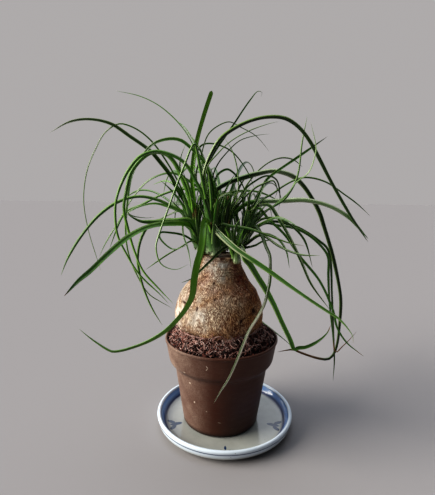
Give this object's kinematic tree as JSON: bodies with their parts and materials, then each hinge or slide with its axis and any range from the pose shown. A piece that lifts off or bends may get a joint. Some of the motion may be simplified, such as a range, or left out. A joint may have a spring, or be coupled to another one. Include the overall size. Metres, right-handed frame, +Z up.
{
  "type": "potted ponytail palm",
  "caption": "Young ponytail palm with a swollen trunk and thin arching leaves, in a brown nursery pot on a round blue and white saucer.",
  "frame": {"origin": "centre of the saucer's flat underside, on the surface it stands on", "axes": "+Z up, +X to the right and +Y away from the viewer of the picture"},
  "size_m": [0.3539, 0.3479, 0.356],
  "materials": {
    "saucer_glaze": "gloss",
    "pot_plastic": "satin",
    "potting_soil": "matte",
    "bark": "matte",
    "leaf": "satin"
  },
  "bodies": {
    "root": {"saucer": "saucer_glaze", "pot": "pot_plastic", "soil": "potting_soil", "caudex": "bark", "head_left": "leaf", "head_front": "leaf", "head_small": "leaf", "head_right": "leaf", "head_back": "leaf"}
  },
  "joints": []
}
